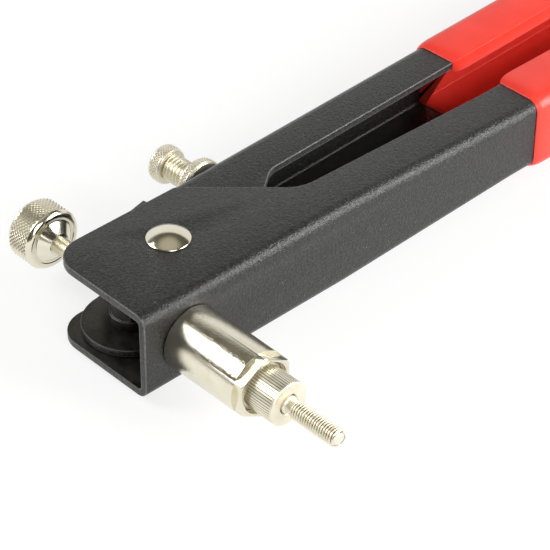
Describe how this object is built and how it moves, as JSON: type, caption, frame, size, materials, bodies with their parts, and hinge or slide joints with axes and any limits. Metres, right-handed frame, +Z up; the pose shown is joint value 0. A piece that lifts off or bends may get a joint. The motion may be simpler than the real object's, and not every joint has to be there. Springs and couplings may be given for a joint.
{
  "type": "rivet nut tool",
  "caption": "Hand setter for rivet nuts: two channel handles on a pivot, a knurled rear knob, a draw spindle and a screw-in nose with a threaded mandrel.",
  "frame": {"origin": "centre of the anvil's front face, where the flange of a rivet nut seats", "axes": "+X out of the nose along the mandrel, +Y along the handles away from the head, +Z up with the tool lying on its side"},
  "size_m": [0.1175, 0.2542, 0.0306],
  "materials": {
    "coated_steel": "black powder coat, fine texture",
    "grip_red": "dipped soft plastic, semi-gloss",
    "nickel": "bright nickel plate",
    "plain_steel": "dark oiled steel"
  },
  "bodies": {
    "frame": {"body_frame": "coated_steel", "fixed_grip": "grip_red", "pivot_rivet": "nickel", "nose_housing": "nickel", "housing_washer": "plain_steel", "housing_nut": "plain_steel", "anvil": "nickel"},
    "lever": {"moving_handle": "coated_steel", "moving_grip": "grip_red", "pivot_sleeve": "plain_steel", "stop_boss": "plain_steel"},
    "draw_block": {"trunnion": "plain_steel"},
    "draw_spindle": {"spindle": "plain_steel", "mandrel": "nickel", "mandrel_lock_nut": "plain_steel", "thrust_washer": "plain_steel", "thrust_nut": "plain_steel", "thrust_sleeve": "nickel", "knob": "nickel", "knob_grub_screw": "plain_steel"},
    "stop": {"stop_screw": "nickel"},
    "stop_nut": {"stop_lock_nut": "nickel"}
  },
  "joints": [
    {"name": "lever_turn", "type": "hinge", "parent": "frame", "child": "lever", "pos_m": [-0.0577, 0.0119, 0], "axis": [0, 0, 1], "range_deg": [-4.5, 28]},
    {"name": "draw_slide", "type": "slide", "parent": "frame", "child": "draw_block", "axis": [1, 0, 0], "range_m": [-0.001, 0.006]},
    {"name": "spindle_turn", "type": "hinge", "parent": "draw_block", "child": "draw_spindle", "pos_m": [-0.0598, 0, 0], "axis": [1, 0, 0], "continuous": true},
    {"name": "stop_travel", "type": "slide", "parent": "lever", "child": "stop", "axis": [0.9993, 0.0366, 0], "range_m": [-0.006, 0]},
    {"name": "stop_nut_turn", "type": "hinge", "parent": "lever", "child": "stop_nut", "pos_m": [-0.08386, 0.04576, 0], "axis": [0.9993, 0.0366, 0], "continuous": true}
  ],
  "couplings": [
    {"joint": "draw_slide", "follows": "lever_turn", "m_per_rad": 0.0122}
  ]
}
